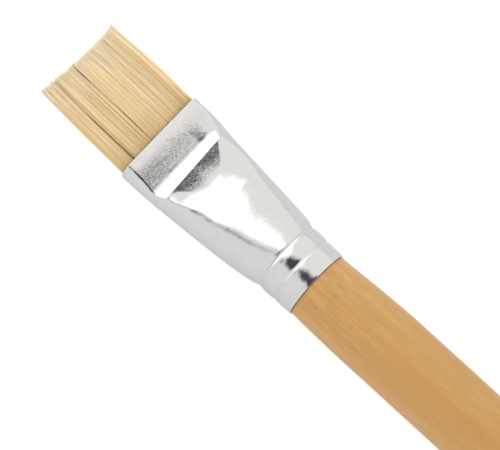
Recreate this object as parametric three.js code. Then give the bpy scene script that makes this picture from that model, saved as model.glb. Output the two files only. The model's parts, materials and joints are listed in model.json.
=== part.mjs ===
// A flat hog-bristle artist's brush, lying on the belly of its handle. Millimetres, +Z up.
// The brush is built from the ferrule's mouth at x = 0: the bristles point to -X and the
// handle runs to +X. y is the width of the bristles and z their thickness.

import * as THREE from 'three';

// Ferrule: a seamless aluminium tube, pressed flat at the mouth and crimped onto the wood.
const FERRULE_LENGTH = 50.3;
const WALL = 0.4;
const MOUTH_HALF_WIDTH = 12.5;
const MOUTH_HALF_HEIGHT = 3.7;
const CORNER_WIDTH = 2; // how far the rounded edge reaches in from each side of the mouth
const FLAT_END = 8.8; // the pressed flat runs from the mouth to here
const RIDGE = 12.2; // the crease where the pressed flat has risen to the facet
const RIDGE_HALF_HEIGHT = 5.1;
const RIDGE_HALF_WIDTH = 9.5;
const FACET_LEVEL_END = 15.5;
const SHOULDER = 35.9; // where the wide cone starts to turn in to the crimped neck
const SHOULDER_HALF_WIDTH = 10.1;
const FIRST_CRIMP = 40.8;
const SECOND_CRIMP = 45.4;
const NECK_RADIUS = 9;
const CRIMP_RADIUS = 8.9;
const BAND_RADIUS = 9.2;

// Handle: one piece of turned hardwood, with a tenon inside the ferrule.
const FIT_GAP = 0.3; // clearance between neighbouring pieces
const TENON_START = 27;
const HANDLE_START = FERRULE_LENGTH + FIT_GAP;
const HANDLE_START_RADIUS = 8.55;
const BELLY_START = 74; // the belly is straight, and the brush balances on it
const BELLY_END = 92;
const BELLY_RADIUS = 9.33;
const TAIL_X = 230.3;
const TAIL_RADIUS = 4.5;
const TAIL_ROUNDING = 4.3;

// Tuft: the free bristles, in two layers of locks, and their roots inside the ferrule.
const TUFT_LENGTH = 27;
const TUFT_WIDTH = 23.6;
const TUFT_HALF_HEIGHT = 3.2;
const TIP_HALF_HEIGHT = 1.5;
const TIP_SLANT = 0.7; // the -y side of the tuft is this much longer than the middle
const TUFT_PINCH = 0.05; // share of its width that the tuft loses from mouth to tip
const FLEX_X = -4.6; // the line about which the tuft bends, a little outside the mouth
const LOCKS_PER_LAYER = 10;
const LOCK_GAP = 0.4;
const BUTT_X = 20.3; // the inner ends of the bristles
const BINDING_START = 13.2;
const BINDING_END = 16.2;
const RESIN_START = 17;
const RESIN_END = 25;

const RING_STEPS = 10; // points in each quarter of a ring
const LATHE_STEPS = 4 * RING_STEPS;

const PALETTE = {
  wood: { color: 0xd8a468, roughness: 0.5, metalness: 0 },
  aluminium: { color: 0xd4d4d8, roughness: 0.3, metalness: 1 },
  bristle: { color: 0xdcc08c, roughness: 0.6, metalness: 0 },
  thread: { color: 0xe9e2d0, roughness: 0.9, metalness: 0 },
  resin: { color: 0xa8742c, roughness: 0.25, metalness: 0 },
};

function mesh(name, geometry, material) {
  const made = new THREE.Mesh(geometry, new THREE.MeshStandardMaterial(PALETTE[material]));
  made.name = name;
  return made;
}

// Reads a table of [x, value] rows at any x, with straight lines between the rows.
function along(table, x) {
  const next = table.findIndex(([at]) => at >= x);
  if (next === 0) return table[0][1];
  if (next < 0) return table.at(-1)[1];
  const [[x0, v0], [x1, v1]] = [table[next - 1], table[next]];
  return THREE.MathUtils.mapLinear(x, x0, x1, v0, v1);
}

const NECK = [
  [FIRST_CRIMP, CRIMP_RADIUS],
  [(FIRST_CRIMP + SECOND_CRIMP) / 2, BAND_RADIUS],
  [SECOND_CRIMP, CRIMP_RADIUS],
  [SECOND_CRIMP + 1.1, NECK_RADIUS],
  [FERRULE_LENGTH, NECK_RADIUS],
];
const HALF_WIDTH = [
  [0, MOUTH_HALF_WIDTH],
  [6.2, MOUTH_HALF_WIDTH],
  [SHOULDER, SHOULDER_HALF_WIDTH],
  [39.2, 9.5],
  ...NECK,
];
const HALF_HEIGHT = [
  [0, MOUTH_HALF_HEIGHT],
  [FLAT_END, MOUTH_HALF_HEIGHT],
  [RIDGE, RIDGE_HALF_HEIGHT],
  [FACET_LEVEL_END, RIDGE_HALF_HEIGHT],
  [39.2, 9.1],
  ...NECK,
];
const HALF_FLAT = [
  [0, MOUTH_HALF_WIDTH - CORNER_WIDTH],
  [FLAT_END, MOUTH_HALF_WIDTH - CORNER_WIDTH],
  [RIDGE, RIDGE_HALF_WIDTH],
  [FIRST_CRIMP, 0],
];
const FERRULE_STATIONS = [
  0, 6.2, FLAT_END, RIDGE, FACET_LEVEL_END, 18, 24, 30, SHOULDER, 39.2, FIRST_CRIMP,
  41.9, 43.1, 44.3, SECOND_CRIMP, SECOND_CRIMP + 1.1, FERRULE_LENGTH,
];

// One ring of points across the brush: level at the top and bottom for halfFlat to each side
// of the middle, then a quarter of an ellipse down to each side.
function ring(x, halfWidth, halfHeight, halfFlat) {
  const step = Math.PI / 2 / RING_STEPS;
  const level = Math.cos(step / 2); // brings the outermost points out to the full size
  const quarter = Array.from({ length: RING_STEPS }, (_, k) => [
    halfFlat + (halfWidth - halfFlat) * Math.cos((k + 0.5) * step) / level,
    halfHeight * Math.sin((k + 0.5) * step) / level,
  ]);
  const back = [...quarter].reverse();
  const outline = [
    ...quarter,
    ...back.map(([y, z]) => [-y, z]),
    ...quarter.map(([y, z]) => [-y, -z]),
    ...back.map(([y, z]) => [y, -z]),
  ];
  return outline.map(([y, z]) => new THREE.Vector3(x, y, z));
}

// The ferrule's section at x, made smaller all round by inset.
function ferruleRing(x, inset) {
  return ring(x, along(HALF_WIDTH, x) - inset, along(HALF_HEIGHT, x) - inset, along(HALF_FLAT, x));
}

// A closed surface through a row of rings. Its two ends are capped, unless the row is a loop.
function skin(rings, loop = false) {
  const size = rings[0].length;
  const points = rings.flat();
  const index = [];
  const spans = loop ? rings.length : rings.length - 1;
  for (let i = 0; i < spans; i++) {
    const here = i * size;
    const there = ((i + 1) % rings.length) * size;
    for (let j = 0; j < size; j++) {
      const k = (j + 1) % size;
      index.push(here + j, here + k, there + k, here + j, there + k, there + j);
    }
  }
  if (!loop) {
    const last = (rings.length - 1) * size;
    const start = points.push(new THREE.Vector3(rings[0][0].x, 0, 0)) - 1;
    const end = points.push(new THREE.Vector3(rings.at(-1)[0].x, 0, 0)) - 1;
    for (let j = 0; j < size; j++) {
      const k = (j + 1) % size;
      index.push(start, k, j, end, last + j, last + k);
    }
  }
  return new THREE.BufferGeometry().setFromPoints(points).setIndex(index);
}

function makeFerrule() {
  const outer = FERRULE_STATIONS.map((x) => ferruleRing(x, 0));
  const inner = FERRULE_STATIONS.map((x) => ferruleRing(x, WALL)).reverse();
  return mesh('ferrule', skin([...outer, ...inner], true), 'aluminium');
}

// The bristles inside the ferrule, squeezed in where the thread is wound round them.
function makeBristleRoots() {
  const full = TUFT_HALF_HEIGHT - FIT_GAP;
  const bound = full - 0.4;
  const rows = [
    [FLEX_X + TUFT_HALF_HEIGHT + FIT_GAP, 11.7, full],
    [FLAT_END, 11.4, full],
    [BINDING_START - 0.6, 10.6, full],
    [BINDING_START - 0.2, 9.9, bound],
    [BINDING_END + 0.2, 9.8, bound],
    [BUTT_X, 9.4, full],
  ];
  const rings = rows.map(([x, width, height]) => ring(x, width, height, width - CORNER_WIDTH));
  return mesh('bristle_roots', skin(rings), 'bristle');
}

// Three turns of thread, wound side by side round the bristles.
function makeBindingThread() {
  const turns = 3;
  const pitch = (BINDING_END - BINDING_START) / turns;
  const outside = [];
  for (let i = 0; i <= 2 * turns; i++) {
    const proud = i % 2 ? 0.8 : 0.5; // the middle of a turn stands out, the gaps do not
    outside.push(ring(BINDING_START + i * pitch / 2, 10.2 + proud, 2.9 + proud, 8.2));
  }
  const inside = [BINDING_END, BINDING_START].map((x) => ring(x, 10.2, 2.9, 8.2));
  return mesh('binding_thread', skin([...outside, ...inside], true), 'thread');
}

// Hard glue poured in behind the bristles, with their inner ends standing in a pocket of it.
function makeResinPlug() {
  const pocket = [BUTT_X + FIT_GAP, RESIN_START].map((x) => ring(x, 10, 3.3, 8));
  const outside = [RESIN_START, 21, RESIN_END].map((x) => ferruleRing(x, WALL + FIT_GAP));
  return mesh('resin_plug', skin([...pocket, ...outside]), 'resin');
}

// The outline of the wood outside the ferrule, as points of (radius, x).
function handleOutline() {
  const point = (radius, x) => new THREE.Vector2(radius, x);
  const tailStart = TAIL_X - TAIL_ROUNDING;
  const front = new THREE.CubicBezierCurve(
    point(HANDLE_START_RADIUS, HANDLE_START), point(8.86, 58),
    point(9.27, 66), point(BELLY_RADIUS, BELLY_START),
  );
  const taper = new THREE.CubicBezierCurve(
    point(BELLY_RADIUS, BELLY_END), point(BELLY_RADIUS, 132),
    point(6.1, 165), point(TAIL_RADIUS, tailStart),
  );
  const end = new THREE.EllipseCurve(0, tailStart, TAIL_RADIUS, TAIL_ROUNDING, 0, Math.PI / 2);
  const rounding = end.getPoints(5).slice(1, -1);
  return [...front.getPoints(6), ...taper.getPoints(12), ...rounding, point(0, TAIL_X)];
}

function makeHandle() {
  const tenonStations = [TENON_START, SHOULDER, 39.2, FIRST_CRIMP, 43.1, SECOND_CRIMP, HANDLE_START];
  const tenon = tenonStations.map(
    (x) => new THREE.Vector2(along(HALF_HEIGHT, x) - WALL - FIT_GAP, x),
  );
  const profile = [new THREE.Vector2(0, TENON_START), ...tenon, ...handleOutline()];
  const geometry = new THREE.LatheGeometry(profile, LATHE_STEPS);
  geometry.rotateY(Math.PI / LATHE_STEPS).rotateZ(-Math.PI / 2);
  return mesh('handle', geometry, 'wood');
}

// Free bristles end along a slanted, gently rounded and slightly uneven line.
function lockReach(across, layer) {
  const side = 2 * across / TUFT_WIDTH;
  const uneven = 0.3 * Math.sin(5.1 * across + 2 * layer);
  return TUFT_LENGTH - TIP_SLANT * (1 + side) - 0.6 * side ** 4 + uneven;
}

// A lock seen from the side: round at its root, so that it can turn about the flex line,
// and thinner towards its tip.
function lockOutline(reach) {
  const middle = LOCK_GAP / 2;
  const shape = new THREE.Shape();
  shape.moveTo(-reach, middle);
  shape.lineTo(FLEX_X + TUFT_HALF_HEIGHT, middle);
  shape.absarc(FLEX_X, 0, TUFT_HALF_HEIGHT, 0.1, Math.PI / 2, false);
  shape.quadraticCurveTo(-0.7 * reach, TUFT_HALF_HEIGHT, -reach, TIP_HALF_HEIGHT);
  return shape;
}

function makeLock(number, across, layer) {
  const pitch = TUFT_WIDTH / LOCKS_PER_LAYER;
  const depth = pitch - LOCK_GAP;
  const shape = lockOutline(lockReach(across, layer));
  const geometry = new THREE.ExtrudeGeometry(shape, { depth, curveSegments: 5, bevelEnabled: false });
  geometry.rotateX(Math.PI / 2);
  geometry.translate(0, across + depth / 2, 0);
  if (layer) geometry.rotateX(Math.PI);
  const place = geometry.getAttribute('position');
  for (let i = 0; i < place.count; i++) {
    const narrower = 1 + TUFT_PINCH * place.getX(i) / TUFT_LENGTH;
    place.setY(i, place.getY(i) * narrower);
  }
  return mesh(`bristle_lock_${String(number).padStart(2, '0')}`, geometry, 'bristle');
}

function makeLocks() {
  const locks = [];
  const pitch = TUFT_WIDTH / LOCKS_PER_LAYER;
  for (let layer = 0; layer < 2; layer++) {
    for (let column = 0; column < LOCKS_PER_LAYER; column++) {
      const across = (column + 0.5) * pitch - TUFT_WIDTH / 2;
      locks.push(makeLock(locks.length + 1, across, layer));
    }
  }
  return locks;
}

const brush = new THREE.Group();
brush.add(makeHandle(), makeFerrule(), makeResinPlug(), makeBindingThread());
brush.add(makeBristleRoots(), ...makeLocks());

// The origin is under the middle of the brush, on the table that it lies on.
const paintBrush = new THREE.Group();
paintBrush.add(brush);
const box = new THREE.Box3().setFromObject(paintBrush, true);
const middle = box.getCenter(new THREE.Vector3());
brush.position.set(-middle.x, -middle.y, -box.min.z);

export default paintBrush;
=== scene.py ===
"""The looks of a flat hog-bristle paint brush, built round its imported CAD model.

Shapes are worked out in millimetres from the middle of the ferrule's mouth: x runs along the
brush to the tail, y across the tuft and z through its thickness. to_row_frame() turns them
into metres in the row frame.
"""

import json
import math

import bpy
import numpy as np
from mathutils import Matrix, Vector


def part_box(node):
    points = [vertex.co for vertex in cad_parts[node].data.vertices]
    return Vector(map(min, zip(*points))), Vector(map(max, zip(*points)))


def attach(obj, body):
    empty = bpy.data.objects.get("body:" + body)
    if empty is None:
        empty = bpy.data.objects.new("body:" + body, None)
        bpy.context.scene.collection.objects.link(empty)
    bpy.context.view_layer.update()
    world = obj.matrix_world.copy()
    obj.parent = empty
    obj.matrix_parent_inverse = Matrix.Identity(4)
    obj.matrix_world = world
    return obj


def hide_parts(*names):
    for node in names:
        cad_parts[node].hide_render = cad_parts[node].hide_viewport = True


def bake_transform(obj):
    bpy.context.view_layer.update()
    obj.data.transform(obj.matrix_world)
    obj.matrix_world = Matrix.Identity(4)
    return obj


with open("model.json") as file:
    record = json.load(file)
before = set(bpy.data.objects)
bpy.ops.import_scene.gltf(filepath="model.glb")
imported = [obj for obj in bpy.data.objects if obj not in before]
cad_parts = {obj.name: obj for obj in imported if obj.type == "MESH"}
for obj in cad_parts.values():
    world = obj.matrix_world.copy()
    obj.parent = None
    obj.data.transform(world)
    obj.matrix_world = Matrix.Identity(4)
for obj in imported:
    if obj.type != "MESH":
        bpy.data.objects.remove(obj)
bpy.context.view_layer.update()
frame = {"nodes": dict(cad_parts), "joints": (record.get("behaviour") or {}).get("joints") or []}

MM = 0.001
AXIS_Z = frame["joints"][0]["pos_m"][2]  # the tuft's hinge is at the height of the brush's axis
FERRULE_LOW, FERRULE_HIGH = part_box("ferrule")
HANDLE_LOW, HANDLE_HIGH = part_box("handle")
MOUTH = Vector((FERRULE_LOW.x, 0, AXIS_Z))
LIP = 0.25  # the sheet reaches this much further over the wood than in the CAD model
FERRULE_END = (FERRULE_HIGH.x - FERRULE_LOW.x) / MM + LIP
MOUTH_HALF_WIDTH = FERRULE_HIGH.y / MM
TAIL_X = (HANDLE_HIGH.x - MOUTH.x) / MM
TENON_START = (HANDLE_LOW.x - MOUTH.x) / MM
WALL = 0.4  # thickness of the ferrule's sheet
FIT_GAP = 0.3  # between the sheet and the tenon

rng = np.random.default_rng(24)


# ---------------------------------------------------------------- shapes

def to_row_frame(points):
    """Millimetres from the mouth to metres in the row frame."""
    return np.asarray(points, float) * MM + np.array(MOUTH)


def smooth_line(knots, x):
    """A smooth line through (x, value) knots, which never overshoots them."""
    at, value = np.array(knots, float).T
    step = np.diff(at)
    slope = np.diff(value) / step
    tangent = np.zeros(len(at))
    tangent[0], tangent[-1] = slope[0], slope[-1]
    for i in range(1, len(at) - 1):
        if slope[i - 1] * slope[i] > 0:
            before, after = 2 * step[i] + step[i - 1], step[i] + 2 * step[i - 1]
            tangent[i] = (before + after) / (before / slope[i - 1] + after / slope[i])
    i = np.clip(np.searchsorted(at, x, side="right") - 1, 0, len(step) - 1)
    t = np.clip((x - at[i]) / step[i], 0, 1)
    rise = value[i + 1] - value[i]
    leave, arrive = tangent[i] * step[i], tangent[i + 1] * step[i]
    bend = t * (1 - t) * (leave * (1 - t) - arrive * t)
    return value[i] + rise * t * t * (3 - 2 * t) + bend


def straight_line(knots, x):
    """Straight pieces through (x, value) knots, held level beyond both ends."""
    return np.interp(x, *np.transpose(knots))


def soft_step(value):
    """0 to 1 as value goes from -0.5 to 0.5, starting and ending gently."""
    t = np.clip(value + 0.5, 0, 1)
    return t * t * (3 - 2 * t)


def creased_line(pieces, x):
    """Smooth lines that meet at creases: each piece is a list of knots."""
    line = smooth_line(pieces[0], x)
    for piece in pieces[1:]:
        line = np.where(x > piece[0][0], smooth_line(piece, x), line)
    return line


def bezier(p0, p1, p2, p3, steps):
    """Points along the Bezier curve from p0 to p3 that p1 and p2 pull on."""
    t = np.linspace(0, 1, steps)[:, None]
    p0, p1, p2, p3 = (np.array(p, float) for p in (p0, p1, p2, p3))
    return (1 - t) ** 3 * p0 + 3 * t * (1 - t) ** 2 * p1 + 3 * t * t * (1 - t) * p2 + t ** 3 * p3


def resample(line, count):
    """Points at equal distances along a line of points, without its last one."""
    run = np.concatenate(([0], np.cumsum(np.linalg.norm(np.diff(line, axis=0), axis=1))))
    at = np.arange(count) * run[-1] / count
    return np.column_stack([np.interp(at, run, line[:, k]) for k in range(line.shape[1])])


def full_turn(count):
    """Angles at equal steps, once round."""
    return np.arange(count) * math.tau / count


def squared_oval(turn, half_width, half_height, fullness):
    """The y and z of an oval at the angles turn. A fullness below 1 squares it off."""
    y = half_width * np.sign(np.cos(turn)) * np.abs(np.cos(turn)) ** fullness
    z = half_height * np.sign(np.sin(turn)) * np.abs(np.sin(turn)) ** fullness
    return y, z


def ring_faces(rings, size, loop=False):
    """Quads between neighbouring rings of size points. A loop joins the last to the first."""
    here = np.arange(rings if loop else rings - 1)[:, None] * size
    there = (here + size) % (rings * size)
    j = np.arange(size)
    k = (j + 1) % size
    quads = np.stack([here + j, here + k, there + k, there + j], axis=-1)
    return quads.reshape(-1, 4).tolist()


def make_piece(name, points, faces, material):
    """A smooth-shaded mesh from points in millimetres from the mouth."""
    mesh = bpy.data.meshes.new(name)
    mesh.from_pydata(to_row_frame(points).tolist(), [], faces)
    mesh.polygons.foreach_set("use_smooth", [True] * len(mesh.polygons))
    mesh.materials.append(material)
    piece = bpy.data.objects.new(name, mesh)
    bpy.context.scene.collection.objects.link(piece)
    return piece


def make_bar(name, rings, material):
    """A closed bar through rings of points, with a flat cap on each end."""
    size = len(rings[0])
    faces = ring_faces(len(rings), size)
    faces.append(list(range(size))[::-1])
    faces.append(list(range((len(rings) - 1) * size, len(rings) * size)))
    return make_piece(name, np.concatenate(rings), faces, material)


# ---------------------------------------------------------------- materials

EVENLY = (1, 1, 1)  # no stretch


class Nodes:
    """Short calls for building the node tree of a material or a world."""

    def __init__(self, holder):
        holder.use_nodes = True
        self.holder = holder
        self.tree = holder.node_tree

    def put(self, socket, value):
        """Links a node's output to the socket, or sets a plain value."""
        if isinstance(value, bpy.types.NodeSocket):
            self.tree.links.new(value, socket)
        else:
            socket.default_value = value

    def node(self, kind, output=0, settings=None, **inputs):
        """Adds a node and returns one output. Inputs go by name, or by number as i0, i1, i2."""
        made = self.tree.nodes.new(kind)
        for key, value in (settings or {}).items():
            setattr(made, key, value)
        for key, value in inputs.items():
            name = key.replace("_", " ")
            socket = made.inputs[int(key[1:])] if key[1:].isdigit() else made.inputs[name]
            self.put(socket, value)
        return made.outputs[output]

    def math(self, operation, a, b):
        return self.node("ShaderNodeMath", settings={"operation": operation}, i0=a, i1=b)

    def vector_math(self, operation, output=0, **inputs):
        return self.node("ShaderNodeVectorMath", output, {"operation": operation}, **inputs)

    def coordinates(self, scale):
        """The piece's own coordinates in the row frame, stretched by scale."""
        place = self.tree.nodes.new("ShaderNodeTexCoord").outputs["Object"]
        return self.node("ShaderNodeMapping", Vector=place, Scale=scale)

    def noise(self, scale, detail, size=1.0, roughness=0.5, distortion=0.0):
        """Noise with scale * size features to the metre along x, y and z."""
        return self.node("ShaderNodeTexNoise", Vector=self.coordinates(scale), Scale=size,
                         Detail=detail, Roughness=roughness, Distortion=distortion)

    def ramp(self, factor, stops):
        """A colour ramp: stops are (position, colour)."""
        made = self.tree.nodes.new("ShaderNodeValToRGB")
        elements = made.color_ramp.elements
        while len(elements) < len(stops):
            elements.new(0.5)
        for element, (position, colour) in zip(elements, stops):
            element.position = position
            element.color = (*colour, 1)
        self.put(made.inputs[0], factor)
        return made.outputs[0]

    def spread(self, value, low, high, to_low=0.0, to_high=1.0):
        """value from low..high to to_low..to_high, held at the ends."""
        return self.node("ShaderNodeMapRange", i0=value, i1=low, i2=high, i3=to_low, i4=to_high)

    def mix(self, factor, a, b):
        """Colour a, turning into colour b as factor goes from 0 to 1."""
        made = self.tree.nodes.new("ShaderNodeMix")
        made.data_type = "RGBA"
        self.put(made.inputs[0], factor)
        for socket, value in ((made.inputs[6], a), (made.inputs[7], b)):
            self.put(socket, (*value, 1) if isinstance(value, tuple) else value)
        return made.outputs[2]

    def bump(self, height, distance, strength, normal=None):
        """A normal that follows height, which is worth distance in metres."""
        made = self.tree.nodes.new("ShaderNodeBump")
        made.inputs["Distance"].default_value = distance
        made.inputs["Strength"].default_value = strength
        self.put(made.inputs["Height"], height)
        if normal is not None:
            self.put(made.inputs["Normal"], normal)
        return made.outputs[0]

    def tip(self, normal, cells, angle):
        """normal, tipped along x, y and z in each cell by up to angle, in radians. The random
        colour of a cell, 0 to 1 in each channel, says which way and how far."""
        lean = self.vector_math("SUBTRACT", i0=cells, i1=(0.5, 0.5, 0.5))
        lean = self.vector_math("SCALE", i0=lean, i3=2 * angle)
        tipped = self.vector_math("ADD", i0=normal, i1=lean)
        return self.vector_math("NORMALIZE", i0=tipped)

    def finish(self, colour, roughness, normal=None, **constants):
        """Sets the material's Principled shader and returns the material."""
        shader = self.tree.nodes["Principled BSDF"]
        self.put(shader.inputs["Base Color"], colour)
        self.put(shader.inputs["Roughness"], roughness)
        if normal is not None:
            self.put(shader.inputs["Normal"], normal)
        for key, value in constants.items():
            shader.inputs[key.replace("_", " ")].default_value = value
        return self.holder


def new_material(name):
    return Nodes(bpy.data.materials.new(name))


def make_wood():
    """Pale golden beech under a thin satin varnish: long soft grain, short dark flecks along
    it, and the faint rings that turning leaves round the handle."""
    n = new_material("turned_beech")
    bands = n.noise((14, 300, 300), detail=5, roughness=0.55, distortion=0.4)
    streaks = n.noise((150, 2000, 2000), detail=4, roughness=0.6)
    cloud = n.noise((30, 90, 90), detail=3)
    turning = n.noise((2800, 160, 160), detail=2)
    flecks = n.noise((330, 5200, 5200), detail=1)
    pores = n.noise((90, 2600, 2600), detail=0)
    colour = n.ramp(bands, [(0.3, (0.47, 0.25, 0.07)), (0.5, (0.54, 0.30, 0.09)),
                            (0.72, (0.62, 0.365, 0.125))])
    colour = n.mix(n.spread(streaks, 0.38, 0.7, 0.0, 0.6), colour, (0.42, 0.2, 0.05))
    colour = n.mix(n.spread(cloud, 0.4, 0.7, 0.0, 0.3), colour, (0.57, 0.33, 0.11))
    colour = n.mix(n.spread(turning, 0.52, 0.75, 0.0, 0.4), colour, (0.42, 0.22, 0.07))
    colour = n.mix(n.spread(flecks, 0.62, 0.76, 0.0, 0.4), colour, (0.30, 0.14, 0.05))
    colour = n.mix(n.spread(pores, 0.77, 0.82, 0.0, 0.6), colour, (0.16, 0.08, 0.035))
    along = n.node("ShaderNodeSeparateXYZ", Vector=n.coordinates(EVENLY))
    pale_from, pale_to = -0.05, -0.02  # the wood is a little paler just behind the ferrule
    colour = n.mix(n.spread(along, pale_from, pale_to, 0.0, 0.55), colour, (0.48, 0.25, 0.068))
    roughness = n.spread(streaks, 0.3, 0.7, 0.3, 0.4)
    normal = n.bump(streaks, 0.00004, 0.35)
    normal = n.bump(turning, 0.00003, 0.3, normal)
    return n.finish(colour, roughness, normal, Specular_IOR_Level=0.5)


def make_aluminium():
    """Rolled aluminium, a little wavy where it was pressed. Its satin skin is made of grains
    of about a tenth of a millimetre, which each mirror the room at a slightly different angle."""
    n = new_material("pressed_aluminium")
    pebbles = n.noise(EVENLY, size=3000, detail=2, roughness=0.7)
    grains = n.node("ShaderNodeTexVoronoi", output=1, Vector=n.coordinates(EVENLY),
                    Scale=9500.0)
    waves = n.noise(EVENLY, size=240, detail=2)
    smudges = n.noise(EVENLY, size=620, detail=5, roughness=0.7)
    scratches = n.noise((160, 6500, 6500), detail=2)
    colour = n.ramp(smudges, [(0.3, (0.57, 0.57, 0.582)), (0.6, (0.595, 0.595, 0.597)),
                              (0.8, (0.61, 0.61, 0.603))])
    roughness = n.spread(smudges, 0.3, 0.75, 0.07, 0.12)
    normal = n.bump(waves, 0.0001, 0.3)
    normal = n.bump(pebbles, 0.000004, 0.8, normal)
    normal = n.bump(scratches, 0.00001, 0.15, normal)
    normal = n.tip(normal, grains, 0.045)
    return n.finish(colour, roughness, normal, Metallic=1.0)


def make_bristle():
    """Bleached hog bristle with a faint gloss. A hair's tint takes it from tan to cream, and its
    reach from darker and browner at the ferrule, painted shade where the hairs go in, to paler at
    the tip. Dark turns it nearly black, for dark hairs and for the painted shade of a gap."""
    n = new_material("hog_bristle")
    tint = n.node("ShaderNodeAttribute", output=2, settings={"attribute_name": "tint"})
    reach = n.node("ShaderNodeAttribute", output=2, settings={"attribute_name": "reach"})
    dark = n.node("ShaderNodeAttribute", output=2, settings={"attribute_name": "dark"})
    mottle = n.noise((260, 1500, 1500), detail=3)
    colour = n.ramp(tint, [(0.0, (0.71, 0.455, 0.17)), (0.3, (0.80, 0.58, 0.29)),
                           (0.6, (0.88, 0.70, 0.42)), (1.0, (0.94, 0.82, 0.60))])
    colour = n.mix(n.spread(mottle, 0.4, 0.7, 0.0, 0.3), colour, (0.86, 0.70, 0.42))
    colour = n.mix(n.spread(reach, 0.6, 1.0, 0.0, 0.6), colour, (0.92, 0.82, 0.61))
    # Painted shade: the hairs darken towards the ferrule's mouth, where they go in.
    colour = n.mix(n.spread(reach, 0.35, 0.0, 0.0, 0.75), colour, (0.61, 0.43, 0.19))
    colour = n.mix(dark, colour, (0.08, 0.048, 0.022))
    return n.finish(colour, 0.46, Specular_IOR_Level=0.45)


def make_packed_bristle():
    """The bound, glued roots: fine straight lines along the brush."""
    n = new_material("packed_bristle")
    lines = n.noise((60, 5200, 5200), detail=3)
    colour = n.ramp(lines, [(0.3, (0.42, 0.26, 0.10)), (0.7, (0.74, 0.55, 0.28))])
    return n.finish(colour, 0.6, n.bump(lines, 0.0001, 0.5))


def make_thread():
    """Natural linen thread, with its twist."""
    n = new_material("linen_thread")
    twist = n.noise((2600, 900, 900), detail=4)
    colour = n.ramp(twist, [(0.3, (0.62, 0.55, 0.42)), (0.7, (0.84, 0.79, 0.67))])
    return n.finish(colour, 0.9, n.bump(twist, 0.0001, 0.6))


def make_resin():
    """Amber glue with a few small bubbles."""
    n = new_material("amber_glue")
    cloud = n.noise(EVENLY, size=400, detail=3)
    bubbles = n.node("ShaderNodeTexVoronoi", Vector=n.coordinates(EVENLY), Scale=1300.0)
    colour = n.ramp(cloud, [(0.3, (0.30, 0.14, 0.03)), (0.7, (0.46, 0.25, 0.07))])
    return n.finish(colour, 0.25, n.bump(bubbles, 0.0001, 0.4))


# ---------------------------------------------------------------- ferrule

# Lines along the ferrule, each as (x, value) knots in smooth pieces that meet at creases: the
# ridge near the mouth and the two crimps round the neck. Behind the first crimp the ferrule is
# round, and BANDS is its radius.
RIDGE_X, FIRST_CRIMP, SECOND_CRIMP = 11.5, 40.8, 45.4
BANDS = [
    [(FIRST_CRIMP, 8.88), (41.4, 9.1), (42.8, 9.27), (44.2, 9.2), (45.05, 9.08), (45.25, 9.0),
     (SECOND_CRIMP, 8.84)],
    [(SECOND_CRIMP, 8.84), (45.6, 8.98), (46.0, 9.06), (47.2, 9.11), (48.9, 9.06), (50.1, 9.02),
     (FERRULE_END, 8.96)],
]
# Half the ferrule's width and half its height.
FERRULE_WIDTH = [
    [(0, MOUTH_HALF_WIDTH + 0.08), (5, MOUTH_HALF_WIDTH + 0.08), (8, 12.45), (13, 12.03),
     (18.5, 11.64), (24, 11.21), (30, 10.71), (35.5, 10.16), (38.6, 9.71), (40.4, 9.16),
     (FIRST_CRIMP, 8.88)],
    *BANDS,
]
DENT_END = 26  # the dent behind the ridge has run out here
FERRULE_HEIGHT = [
    [(0, 3.72), (2, 3.71), (3.5, 3.63), (5.5, 3.45), (7.6, 3.26), (8.4, 3.2), (8.9, 3.23),
     (9.5, 3.47), (10.1, 3.81), (RIDGE_X, 4.66)],
    [(RIDGE_X, 4.66), (12.7, 4.475), (14.3, 4.255), (16, 4.11), (17, 4.09), (18.3, 4.3),
     (21.2, 5.12), (DENT_END, 6.8), (32, 7.95), (36, 8.64), (39.4, 9.17), (40.4, 9.28),
     (FIRST_CRIMP, 8.88)],
    *BANDS,
]
# The flat on top: half its width, and the y of its middle.
FERRULE_FLAT = [
    [(0, 10.7), (5, 10.65), (9, 9.7), (RIDGE_X, 8.87)],
    [(RIDGE_X, 8.87), (13.6, 7.75), (16.5, 5.95), (18.2, 4.95), (20, 4.1), (25, 2.7), (31, 1.5),
     (35, 0.78), (39, 0.2), (FIRST_CRIMP, 0)],
    [(FIRST_CRIMP, 0), (FERRULE_END, 0)],
]
FLAT_MIDDLE = [
    [(0, 0.85), (5, 0.65), (9, -0.65), (RIDGE_X, -0.2)],
    [(RIDGE_X, -0.2), (13.6, -0.95), (16.5, -1.8), (18.2, -2.4), (20, -2.5), (25, -2.1),
     (31, -1.6), (35, -1.05), (39, -0.3), (FIRST_CRIMP, 0)],
    [(FIRST_CRIMP, 0), (FERRULE_END, 0)],
]
# In front of the ridge the flat is less pressed in past a line near its +y end. Behind the
# ridge it is dented, but not past a line that runs from its -y end over to the +y side, and a
# little deeper past a line near its middle. Each has its height, the y of its line, and how
# softly it sets in across it.
LESS_PRESSED = [(3, 0), (5.5, 0.08), (8.5, 0.2), (10.2, 0.1), (RIDGE_X, 0)]
LESS_PRESSED_EDGE, LESS_PRESSED_SOFTNESS = 6.6, 3.4
UNDENTED_HEIGHT = [(RIDGE_X, 4.66), (13, 4.86), (14.5, 5.03), (16, 5.15), (18.3, 5.36),
                   (21.2, 5.64), (DENT_END, 6.8)]
DENT_EDGE = [(RIDGE_X, -9.4), (13, -8.0), (15.3, -6.5), (17.3, -4), (19, -1.5), (20.4, 1.2),
             (23, 6)]
DENT_SOFTNESS = [(RIDGE_X, 3.8), (13.5, 4.1), (16, 5.4), (20, 5.8), (DENT_END, 5.8)]
DEEPER = [(RIDGE_X, 0), (14, 0.08), (16, 0.1), (20, 0)]
DEEPER_EDGE, DEEPER_SOFTNESS = 1.5, 5
# The ridge runs a little askew: how far the top is shifted to the tail per millimetre of y.
RIDGE_SKEW = [(8, 0), (10, -0.04), (RIDGE_X, -0.045), (14, -0.03), (18, 0)]
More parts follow.
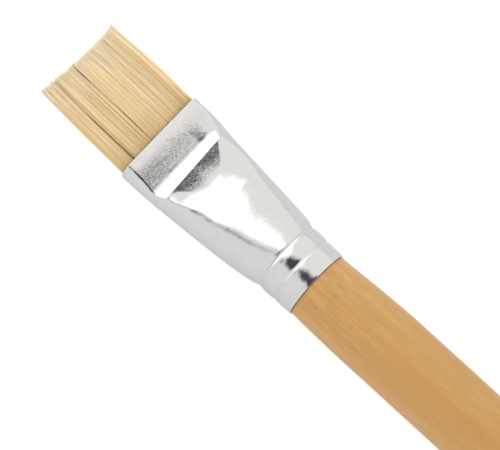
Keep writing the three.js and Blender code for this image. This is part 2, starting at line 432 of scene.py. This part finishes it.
# The whole brush isn't quite straight: how far it sways to +y, from its tip to its tail.
SWAY = [(-27, 0), (-10, 0.15), (0, 0.2), (6, 0.18), (11, 0), (18, -0.13), (32, -0.18),
        (39, -0.04), (44, -0.08), (52, -0.18), (62, 0), (76, 0.24), (100, 0.3), (135, 0.15),
        (156, 0)]
ROUND = 0.5523  # the pull that makes a Bezier curve a quarter of an ellipse
# The shoulders on both sides of the flat: their pull, from tight to round, and their fall in
# degrees.
SHOULDER_PULL = [(0, 0.5), (8, 0.5), (11, 0.35), (15, 0.45), (34, ROUND)]
SHOULDER_FALL = [(10, 0), (13, 7), (30, 5), (38, 0)]
SIDE_STEPS = 60
# The flat is slightly crowned. It falls by CROWN times the square of the way from its middle.
CROWN = 0.001
CROWN_SHARE = [(9, 1), (RIDGE_X, 0.3), (16, 0)]


def ferrule_half_ring(x, inset, count):
    """The upper half of the ferrule's section at x, from its +y side over to its -y side."""
    width = float(creased_line(FERRULE_WIDTH, x)) - inset
    height = float(creased_line(FERRULE_HEIGHT, x)) - inset
    flat = float(creased_line(FERRULE_FLAT, x))
    middle = float(creased_line(FLAT_MIDDLE, x))
    pull = straight_line(SHOULDER_PULL, x)
    fall = math.radians(straight_line(SHOULDER_FALL, x))
    sides = []
    for side in (1, -1):
        edge = middle + side * flat
        reach = abs(side * width - edge)
        shoulder = (edge + side * pull * reach * math.cos(fall),
                    height - pull * reach * math.sin(fall))
        sides.append(bezier((side * width, 0), (side * width, ROUND * height), shoulder,
                            (edge, height), SIDE_STEPS))
    ring = resample(np.concatenate([sides[0], sides[1][::-1]]), count)
    y = ring[:, 0]
    if x < RIDGE_X:
        past = soft_step((y - LESS_PRESSED_EDGE) / LESS_PRESSED_SOFTNESS)
        lift = smooth_line(LESS_PRESSED, x) * past
    elif RIDGE_X < x < DENT_END:
        undented = smooth_line(UNDENTED_HEIGHT, x) - inset - height
        lift = undented * soft_step((smooth_line(DENT_EDGE, x) - y) / smooth_line(DENT_SOFTNESS, x))
        lift = lift - smooth_line(DEEPER, x) * soft_step((y - DEEPER_EDGE) / DEEPER_SOFTNESS)
    else:
        lift = 0
    crown = CROWN * straight_line(CROWN_SHARE, x)
    ring[:, 1] += ring[:, 1] / height * (lift - crown * (y - middle) ** 2)
    return ring


def ferrule_ring(x, inset=0.0, half_count=150):
    """The closed section at x. The under side is the upper side turned half way round."""
    upper = ferrule_half_ring(x, inset, half_count)
    y, z = upper.T
    skew = smooth_line(RIDGE_SKEW, x) * y * z / z.max()
    upper = np.column_stack([x + skew, upper])
    lower = upper * (1, -1, -1)
    ring = np.concatenate([upper, lower])
    ring[:, 1] += smooth_line(SWAY, x)
    return ring


# Where the sections are taken, as runs of x from, to and step: closer at the ridge and crimps.
STATION_RUNS = [(0.7, 7, 0.7), (7, 15, 0.14), (15, 39, 0.5), (39, FERRULE_END, 0.1)]
RIM = 0.09  # radius of the rounded edge of the sheet
RIM_STEP = RIM * 0.3  # the middle of that rounding lies this far from both faces


def make_ferrule(material):
    """The pressed sheet, out along its outside and back along its inside. The smooth inside
    needs only every third section."""
    runs = [np.arange(*run) for run in STATION_RUNS]
    turns = [RIM, RIM * 1.5, RIDGE_X, FIRST_CRIMP, SECOND_CRIMP, FERRULE_END]
    stations = np.unique(np.concatenate([*runs, turns]))
    outside = [ferrule_ring(0.0, RIM), ferrule_ring(RIM_STEP, RIM_STEP)]
    outside += [ferrule_ring(x) for x in stations]
    inside = [ferrule_ring(x, WALL) for x in stations[::-3]]
    inside += [ferrule_ring(RIM_STEP, WALL - RIM_STEP), ferrule_ring(0.0, WALL - RIM)]
    rings = outside + inside
    faces = ring_faces(len(rings), len(rings[0]), loop=True)
    piece = make_piece("ferrule_shell", np.concatenate(rings), faces, material)
    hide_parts("ferrule")
    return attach(piece, "brush_body")


GLUE_GAP = 0.05  # between the glue and the sheet
GLUE_ROUNDING = 0.25  # how far the glue draws in at its ends
GLUE_ROWS = [(17.0, 1), (17.4, 0), (20, 0), (23.6, 0), (24.6, 0.2), (25.0, 1)]  # x, share of it


def make_glue(material):
    """Glue poured in behind the bristles. It fills the ferrule there, with rounded ends."""
    rings = [ferrule_ring(x, WALL + GLUE_GAP + GLUE_ROUNDING * share, 75)
             for x, share in GLUE_ROWS]
    piece = make_bar("glue_plug", rings, material)
    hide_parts("resin_plug")
    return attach(piece, "brush_body")


# ---------------------------------------------------------------- handle

HANDLE_SIDES = 160
NOSE_RADIUS, NOSE_CHAMFER = 4.0, 0.3  # the front end of the tenon
SEEN_START = FERRULE_END + 0.05  # where the wood comes out of the ferrule
SEEN_RADIUS = 8.62
BELLY_START, BELLY_END = 74, 92  # the wood is thickest between these
BELLY_RADIUS = HANDLE_HIGH.y / MM
TAIL_RADIUS, TAIL_ROUNDING = 4.5, 4.3
TAIL_BUTTON = 0.35  # radius of the flat that ends the tail


def handle_profile():
    """The outline of the turned wood, as rows of (x, radius) from the tenon to the tail. The
    tenon follows the inside of the ferrule, so the crimps press into it."""
    tenon_x = np.concatenate([np.linspace(TENON_START, 39, 20),
                              np.linspace(39.2, FERRULE_END - 0.2, 60)])
    tenon = np.column_stack([tenon_x, creased_line(FERRULE_HEIGHT, tenon_x) - WALL - FIT_GAP])
    tenon_radius = tenon[0, 1]
    nose = [(TENON_START, NOSE_RADIUS), (TENON_START, tenon_radius - NOSE_CHAMFER),
            (TENON_START + NOSE_CHAMFER, tenon_radius)]
    edge = [(FERRULE_END - 0.1, 8.3), (SEEN_START, 8.32), (SEEN_START, 8.5),
            (SEEN_START + 0.05, 8.57)]
    front = bezier((SEEN_START + 0.15, SEEN_RADIUS), (58, 8.98), (66, 9.33),
                   (BELLY_START, BELLY_RADIUS), 40)
    tail_start = TAIL_X - TAIL_ROUNDING
    taper = bezier((BELLY_END, BELLY_RADIUS), (132, BELLY_RADIUS), (165, 6.1),
                   (tail_start, TAIL_RADIUS), 120)
    turn = np.linspace(0, math.pi / 2, 26)[1:-1]
    tail = np.column_stack([tail_start + TAIL_ROUNDING * np.sin(turn), TAIL_RADIUS * np.cos(turn)])
    return np.concatenate([nose, tenon[1:], edge, front, taper, tail, [(TAIL_X, TAIL_BUTTON)]])


def make_handle(material):
    turn = full_turn(HANDLE_SIDES)
    rings = [
        np.column_stack([np.full(len(turn), x), r * np.cos(turn) + smooth_line(SWAY, x),
                         r * np.sin(turn)])
        for x, r in handle_profile()
    ]
    piece = make_bar("handle_wood", rings, material)
    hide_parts("handle")
    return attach(piece, "brush_body")


# ---------------------------------------------------------------- bristles

TUFT_LENGTH = 26.8
TUFT_HALF_WIDTH = 11.85
TUFT_HALF_HEIGHT = 3.22
TUFT_CORNER = 1.9  # the field of hairs is rounded off over this width at both ends
TUFT_PIECES = 12
HAIR_SPACING = 0.215
HAIR_JITTER = 0.16  # as a share of the spacing
HAIR_RADIUS = 0.11
HAIR_SIDES = 5
HAIR_STEPS = 9
HAIR_TAPER = [(0, 1), (0.6, 0.9), (0.9, 0.62), (1, 0.34)]
ROOT_DEPTH = 1.2  # the hairs start this far inside the mouth
# The tuft's width and thickness, as shares of what they are at the mouth, by the way out of it.
WIDTH_ALONG = [(-2, 1.0), (1, 1.0), (9, 1.006), (14, 1.0), (18, 0.995), (22, 0.985), (27, 0.975)]
THICKNESS_ALONG = [(-2, 0.98), (1, 1.0), (4, 1.03), (10, 0.98), (16, 0.82), (21, 0.64),
                   (26.5, 0.44)]
LEAN = 0.028  # the hairs lean to +y by this share of their length
WIDE_LOCKS, SMALL_LOCKS = 30, 520
WIDE_DRAW, SMALL_DRAW = 0.03, 0.16  # the share of the way to its middle that a lock draws in
LOCK_LENGTHS = 0.16  # how much locks differ in length
SHORTFALL = 0.35  # how much shorter than its locks a hair is on average
HELD = 6  # the hairs bow freely from this far out of the mouth


def hair_roots():
    """Where the hairs stand in the mouth: a slightly jittered, close-packed field of (y, z)."""
    row_gap = HAIR_SPACING * math.sqrt(3) / 2
    rows = np.arange(-TUFT_HALF_HEIGHT, TUFT_HALF_HEIGHT, row_gap)
    field = []
    for i, z in enumerate(rows):
        y = np.arange(-TUFT_HALF_WIDTH, TUFT_HALF_WIDTH, HAIR_SPACING) + (i % 2) * HAIR_SPACING / 2
        field.append(np.column_stack([y, np.full(len(y), z)]))
    field = np.concatenate(field)
    straight = TUFT_HALF_WIDTH - TUFT_CORNER
    over_y = np.maximum(np.abs(field[:, 0]) - straight, 0) / TUFT_CORNER
    over_z = np.abs(field[:, 1]) / TUFT_HALF_HEIGHT
    field = field[over_y ** 2 + over_z ** 2 * (over_y > 0) < 1]
    return field + rng.normal(0, HAIR_SPACING * HAIR_JITTER, field.shape)


def nearest(points, centres):
    """The number of the nearest centre for each point."""
    best = np.full(len(points), np.inf)
    found = np.zeros(len(points), int)
    for k, centre in enumerate(centres):
        away = ((points - centre) ** 2).sum(1)
        closer = away < best
        best[closer], found[closer] = away[closer], k
    return found


def scatter(count):
    """Centres of locks, spread over the mouth."""
    y = rng.uniform(-TUFT_HALF_WIDTH, TUFT_HALF_WIDTH, count)
    z = rng.uniform(-TUFT_HALF_HEIGHT, TUFT_HALF_HEIGHT, count)
    return np.column_stack([y, z])


def hair_paths(roots):
    """The line of points and the tint of each hair. Hairs fall into wide and small locks. The
    hairs of a lock are alike in length and tint, and draw together towards the tip."""
    count = len(roots)
    wide, small = scatter(WIDE_LOCKS), scatter(SMALL_LOCKS)
    in_wide, in_small = nearest(roots, wide), nearest(roots, small)
    across = roots[:, 0] / TUFT_HALF_WIDTH
    # The ends run on a slant, longest at -y, and reach out again at the +y corner.
    length = TUFT_LENGTH - 0.85 * across + 0.3 * across ** 2 + 1.15 * np.maximum(across, 0) ** 6
    wide_length = rng.normal(0, LOCK_LENGTHS, len(wide))
    small_length = rng.normal(0, LOCK_LENGTHS, len(small))
    length += wide_length[in_wide] + small_length[in_small]
    length -= rng.exponential(SHORTFALL, count)
    t = np.linspace(0, 1, HAIR_STEPS)[None, :]
    run = -ROOT_DEPTH + t * (length + ROOT_DEPTH)[:, None]  # the way out of the mouth
    draw = np.clip(run / TUFT_LENGTH, 0, 1) ** 1.6
    y, z = np.repeat(roots[:, :1], HAIR_STEPS, 1), np.repeat(roots[:, 1:], HAIR_STEPS, 1)
    y = y + (wide[in_wide, :1] - y) * WIDE_DRAW * draw + (small[in_small, :1] - y) * SMALL_DRAW * draw
    z = z + (wide[in_wide, 1:] - z) * WIDE_DRAW * draw + (small[in_small, 1:] - z) * SMALL_DRAW * draw
    lean = rng.normal(0, 0.1, (len(small), 2))[in_small] + rng.normal(0, 0.08, (count, 2))
    bow = rng.normal(0, 0.07, (count, 2))
    free = np.clip(run / HELD, 0, 1)
    y = y + lean[:, :1] * draw + bow[:, :1] * np.sin(math.pi * t) * free
    z = z + lean[:, 1:] * draw + bow[:, 1:] * np.sin(math.pi * t) * free
    y = y * smooth_line(WIDTH_ALONG, run) + LEAN * np.maximum(run, 0) + smooth_line(SWAY, -run)
    z = z * smooth_line(THICKNESS_ALONG, run)
    # Painted light: the 0.08 * across term makes the hairs paler towards +y, the side the tent lights
    # more brightly.
    tint = 0.5 + 0.08 * across + rng.normal(0, 0.03, len(wide))[in_wide]
    tint = tint + rng.normal(0, 0.06, len(small))[in_small]
    tint = np.clip(tint + rng.normal(0, 0.23, count), 0, 1)
    return np.stack([-run, y, z], axis=-1), tint


def hair_mesh(name, paths, tint, dark, material):
    """Tapered five-sided hairs along paths, with their tints kept as mesh attributes."""
    count, steps = paths.shape[:2]
    along = np.linspace(0, 1, steps)
    radius = HAIR_RADIUS * rng.uniform(0.85, 1.15, (count, 1)) * straight_line(HAIR_TAPER, along)
    turn = rng.uniform(0, math.tau, (count, 1)) + full_turn(HAIR_SIDES)
    ring = np.stack([np.zeros_like(turn), np.cos(turn), np.sin(turn)], axis=-1)
    points = paths[:, :, None, :] + ring[:, None, :, :] * radius[:, :, None, None]
    one = np.array(ring_faces(steps, HAIR_SIDES))
    size = steps * HAIR_SIDES
    starts = np.arange(count)[:, None, None] * size
    faces = (one[None] + starts).reshape(-1, 4).tolist()
    caps = np.arange(HAIR_SIDES)
    for first in range(0, count * size, size):
        faces.append((first + caps[::-1]).tolist())
        faces.append((first + size - HAIR_SIDES + caps).tolist())
    piece = make_piece(name, points.reshape(-1, 3), [f[::-1] for f in faces], material)
    for attribute, values in (
        ("tint", np.repeat(tint, size)),
        ("dark", np.repeat(dark, HAIR_SIDES)),
        ("reach", np.tile(np.repeat(along, HAIR_SIDES), count)),
    ):
        layer = piece.data.attributes.new(attribute, "FLOAT", "POINT")
        layer.data.foreach_set("value", values.astype(np.float32))
    return piece


# Darker hairs, and the painted shade of one gap between locks.
DARK_HAIRS_AND_GAP_SHADE = [  # y half way along, width of the group, and (share of the way to the tip, darkness)
    (-1.45, 0.12, [(0, 0.35), (0.25, 0.9), (0.4, 0.9), (0.5, 0.4), (0.65, 0.35), (0.75, 0.65),
                   (0.88, 0.95), (1, 0.4)]),
    # Painted shade: this group darkens the top hairs where a gap between two locks lies in shade.
    (-7.55, 0.15, [(0, 0.75), (0.5, 0.7), (0.6, 0.35), (1, 0.25)]),
    (-4.6, 0.1, [(0, 0.0), (0.45, 0.25), (0.8, 0.2), (1, 0)]),
    (5.2, 0.1, [(0, 0.0), (0.5, 0.08), (0.7, 0), (1, 0)]),
]
BROWN_HAIRS, BROWNNESS = 60, 0.12


def darken_some(paths):
    """How dark each hair is at each step: an olive-black hair lies on the top, the painted shade
    of a gap between locks darkens the top hairs near the -y edge, and a few brown hairs are
    scattered about."""
    along = np.linspace(0, 1, HAIR_STEPS)
    middle = paths[:, HAIR_STEPS // 2]
    dark = np.zeros(paths.shape[:2])
    for y, width, shades in DARK_HAIRS_AND_GAP_SHADE:
        near = np.abs(middle[:, 1] - y) < width
        top = near & (middle[:, 2] > np.quantile(middle[near, 2], 0.8))
        dark[top] = straight_line(shades, along)
    brown = rng.choice(len(paths), BROWN_HAIRS, replace=False)
    dark[brown] += BROWNNESS
    return np.clip(dark, 0, 1)


def make_tuft(material):
    """The free bristles, in side by side pieces that take the place of the CAD model's bristle locks.
    """
    roots = hair_roots()
    paths, tint = hair_paths(roots)
    dark = darken_some(paths)
    order = np.argsort(roots[:, 0], kind="stable")
    parts = np.array_split(order, TUFT_PIECES)
    locks = sorted(name for name in frame["nodes"] if name.startswith("bristle_lock"))
    shares = np.array_split(np.array(locks), TUFT_PIECES)
    for number, (chosen, share) in enumerate(zip(parts, shares), 1):
        piece = hair_mesh(f"bristles_{number:02d}", paths[chosen], tint[chosen], dark[chosen],
                          material)
        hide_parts(*[str(name) for name in share])
        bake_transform(piece)


# Half the width and half the height of the bundle of bristles inside the ferrule.
ROOTS_WIDTH = [(0.6, 11.5), (8, 11.3), (12.6, 10.6), (13.1, 9.9), (16.3, 9.8), (17, 9.5),
               (20.3, 9.4)]
ROOTS_HEIGHT = [(0.6, 2.85), (8, 2.8), (12.6, 2.8), (13.1, 2.5), (16.3, 2.5), (17, 2.8),
                (20.3, 2.8)]
ROOTS_FULLNESS = 0.45
ROOTS_SIDES, ROOTS_ROWS = 96, 40


def make_roots(material):
    """The bundle of bristles inside the ferrule, narrower under its thread."""
    turn = full_turn(ROOTS_SIDES)
    rings = []
    for x in np.linspace(ROOTS_WIDTH[0][0], ROOTS_WIDTH[-1][0], ROOTS_ROWS):
        half_width, half_height = smooth_line(ROOTS_WIDTH, x), smooth_line(ROOTS_HEIGHT, x)
        y, z = squared_oval(turn, half_width, half_height, ROOTS_FULLNESS)
        rings.append(np.column_stack([np.full(len(turn), x), y, z]))
    piece = make_bar("bristle_butts", rings, material)
    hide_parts("bristle_roots")
    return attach(piece, "brush_body")


THREAD_RADIUS = 0.27
THREAD_PITCH = 1.95  # in radii, a little under 2, so that neighbouring turns touch
THREAD_START = 13.45
THREAD_TURNS = 5
THREAD_TUCK = [(0, 0.35), (0.2, 0), (THREAD_TURNS - 0.2, 0), (THREAD_TURNS, 0.35)]
THREAD_FULLNESS = 0.5
BOUND_HALF_WIDTH, BOUND_HALF_HEIGHT = 10.1, 2.55  # of what the thread lies on
THREAD_SIDES, STEPS_ROUND = 10, 84


def make_binding(material):
    """A thread wound tightly round the roots, as one long coil with its ends tucked in."""
    t = np.arange(THREAD_TURNS * STEPS_ROUND + 1) / STEPS_ROUND
    x = THREAD_START + t * THREAD_RADIUS * THREAD_PITCH
    tuck = straight_line(THREAD_TUCK, t)
    half_width = BOUND_HALF_WIDTH + THREAD_RADIUS - tuck
    half_height = BOUND_HALF_HEIGHT + THREAD_RADIUS - tuck
    y, z = squared_oval(t * math.tau, half_width, half_height, THREAD_FULLNESS)
    line = np.column_stack([x, y, z])
    ahead = np.gradient(line, axis=0)
    ahead /= np.linalg.norm(ahead, axis=1)[:, None]
    side = np.cross(ahead, (1, 0, 0))
    side /= np.linalg.norm(side, axis=1)[:, None]
    over = np.cross(ahead, side)
    turn = full_turn(THREAD_SIDES)
    rings = [point + THREAD_RADIUS * (np.outer(np.cos(turn), a) + np.outer(np.sin(turn), b))
             for point, a, b in zip(line, side, over)]
    piece = make_bar("root_binding", rings, material)
    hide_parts("binding_thread")
    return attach(piece, "brush_body")


# ---------------------------------------------------------------- studio

VIEW_LEAN, VIEW_ROLL = math.radians(8.5), math.radians(7.5)
AXIS_SLOPE = math.radians(42.6)  # how far the brush points below the level in the picture
PICTURE_WIDTH = 115.75 * MM
CAMERA_DISTANCE = 0.75
AIM_ALONG, AIM_ASIDE = 29.65, 0.4  # the middle of the picture, along the brush and across it


def view_axes():
    """The picture's right and up, the way back to the camera, and across the seen brush."""
    back = Vector((math.tan(VIEW_LEAN), -math.tan(VIEW_ROLL), 1)).normalized()
    along = Vector((1, 0, 0))
    along = (along - along.dot(back) * back).normalized()
    aside = back.cross(along)
    right = math.cos(AXIS_SLOPE) * along + math.sin(AXIS_SLOPE) * aside
    up = math.cos(AXIS_SLOPE) * aside - math.sin(AXIS_SLOPE) * along
    return right, up, back, aside


def make_camera():
    right, up, back, aside = view_axes()
    aim = Vector(to_row_frame((AIM_ALONG, 0, 0))) - aside * AIM_ASIDE * MM
    camera = bpy.data.objects.new("camera", bpy.data.cameras.new("camera"))
    camera.data.sensor_width = 36
    camera.data.lens = CAMERA_DISTANCE / PICTURE_WIDTH * camera.data.sensor_width
    camera.data.clip_end = 50
    placed = Matrix((right, up, back)).transposed().to_4x4()
    placed.translation = aim + back * CAMERA_DISTANCE
    camera.matrix_world = placed
    bpy.context.scene.collection.objects.link(camera)
    bpy.context.scene.camera = camera


def shown_and_lit(n, shown, lit):
    """One shader for what the camera sees of the studio, and one for how it lights things."""
    seen = n.tree.nodes.new("ShaderNodeLightPath").outputs["Is Camera Ray"]
    return n.node("ShaderNodeMixShader", i0=seen, i1=lit, i2=shown)


def make_floor():
    """A wide white table top, bright enough in the picture to lose all but its shadows."""
    n = new_material("white_table")
    n.tree.nodes.clear()
    cloud = n.noise(EVENLY, size=3, detail=2)
    colour = n.ramp(cloud, [(0.3, (0.80, 0.80, 0.80)), (0.7, (0.82, 0.82, 0.82))])
    paper = n.node("ShaderNodeBsdfDiffuse", Color=colour)
    glow = n.node("ShaderNodeEmission", Color=(1, 1, 1, 1), Strength=0.52)
    bounce = n.node("ShaderNodeEmission", Color=(0.96, 0.95, 1, 1), Strength=0.12)
    out = n.tree.nodes.new("ShaderNodeOutputMaterial")
    shown = n.node("ShaderNodeAddShader", i0=paper, i1=glow)
    lit = n.node("ShaderNodeAddShader", i0=paper, i1=bounce)
    n.put(out.inputs["Surface"], shown_and_lit(n, shown, lit))
    half = 6.0
    corners = [(-half, -half, 0), (half, -half, 0), (half, half, 0), (-half, half, 0)]
    mesh = bpy.data.meshes.new("table_top")
    mesh.from_pydata(corners, [], [(0, 1, 2, 3)])
    mesh.materials.append(n.holder)
    floor = bpy.data.objects.new("table_top", mesh)
    bpy.context.scene.collection.objects.link(floor)


def make_tent():
    """A white tent, a little dimmer on the -y side and cream on the other. It has a softbox
    above the picture, a dark opening round the camera, a narrow grey strip to its left that
    draws the dark edge along the ferrule's bright side, and a dimmer foot on the +y side. The
    first three reach to set angles from the camera, in degrees. The camera itself sees plain
    white behind it all."""
    n = Nodes(bpy.data.worlds.new("tent"))
    bpy.context.scene.world = n.holder
    n.tree.nodes.clear()
    direction = n.tree.nodes.new("ShaderNodeTexCoord").outputs["Generated"]

    def towards(axis):
        return n.vector_math("DOT_PRODUCT", output=1, i0=direction, i1=tuple(axis))

    def edge(value, start, end):
        """0 to 1 as the angle with this tangent goes from start to end."""
        return n.spread(value, *(math.tan(math.radians(angle)) for angle in (start, end)))

    def product(first, *others):
        for other in others:
            first = n.math("MULTIPLY", first, other)
        return first

    right, up, back, _ = view_axes()
    facing = towards(back)
    front = n.math("MAXIMUM", facing, 0.001)
    rightward = n.math("DIVIDE", towards(right), front)
    upward = n.math("DIVIDE", towards(up), front)
    in_front = n.spread(facing, 0.0, 0.1)

    across = towards((0, 1, 0))
    side = n.spread(across, -0.45, 0.2)
    cloth = n.ramp(side, [(0.0, (1.13, 1.11, 1.10)), (1.0, (1.26, 1.24, 1.18))])
    box = product(edge(upward, 19, 29), edge(rightward, -1, -13), in_front)
    light = n.mix(box, cloth, (2.0, 2.0, 2.0))
    wide, narrow = (math.cos(math.radians(angle)) for angle in (25, 20))
    opening = product(n.spread(facing, wide, narrow), edge(upward, 18, 12))
    light = n.mix(opening, light, (0.09, 0.09, 0.11))
    strip = product(edge(upward, 1, 5), edge(upward, 16, 12), edge(rightward, -29, -33),
                    edge(rightward, -44, -36), in_front)
    light = n.mix(strip, light, (0.3, 0.3, 0.32))
    foot = product(n.spread(towards((0, 0, 1)), 0.07, 0.02), n.spread(across, 0.3, 0.6))
    light = n.mix(foot, light, (0.8, 0.8, 0.83))
    lit = n.node("ShaderNodeBackground", Color=light, Strength=1.0)
    shown = n.node("ShaderNodeBackground", Color=(1, 1, 1, 1), Strength=1.0)
    out = n.tree.nodes.new("ShaderNodeOutputWorld")
    n.put(out.inputs["Surface"], shown_and_lit(n, shown, lit))


make_camera()
make_floor()
make_tent()

bristle = make_bristle()
make_handle(make_wood())
make_ferrule(make_aluminium())
make_tuft(bristle)
make_roots(make_packed_bristle())
make_glue(make_resin())
make_binding(make_thread())

bpy.context.scene.view_settings.view_transform = "Standard"
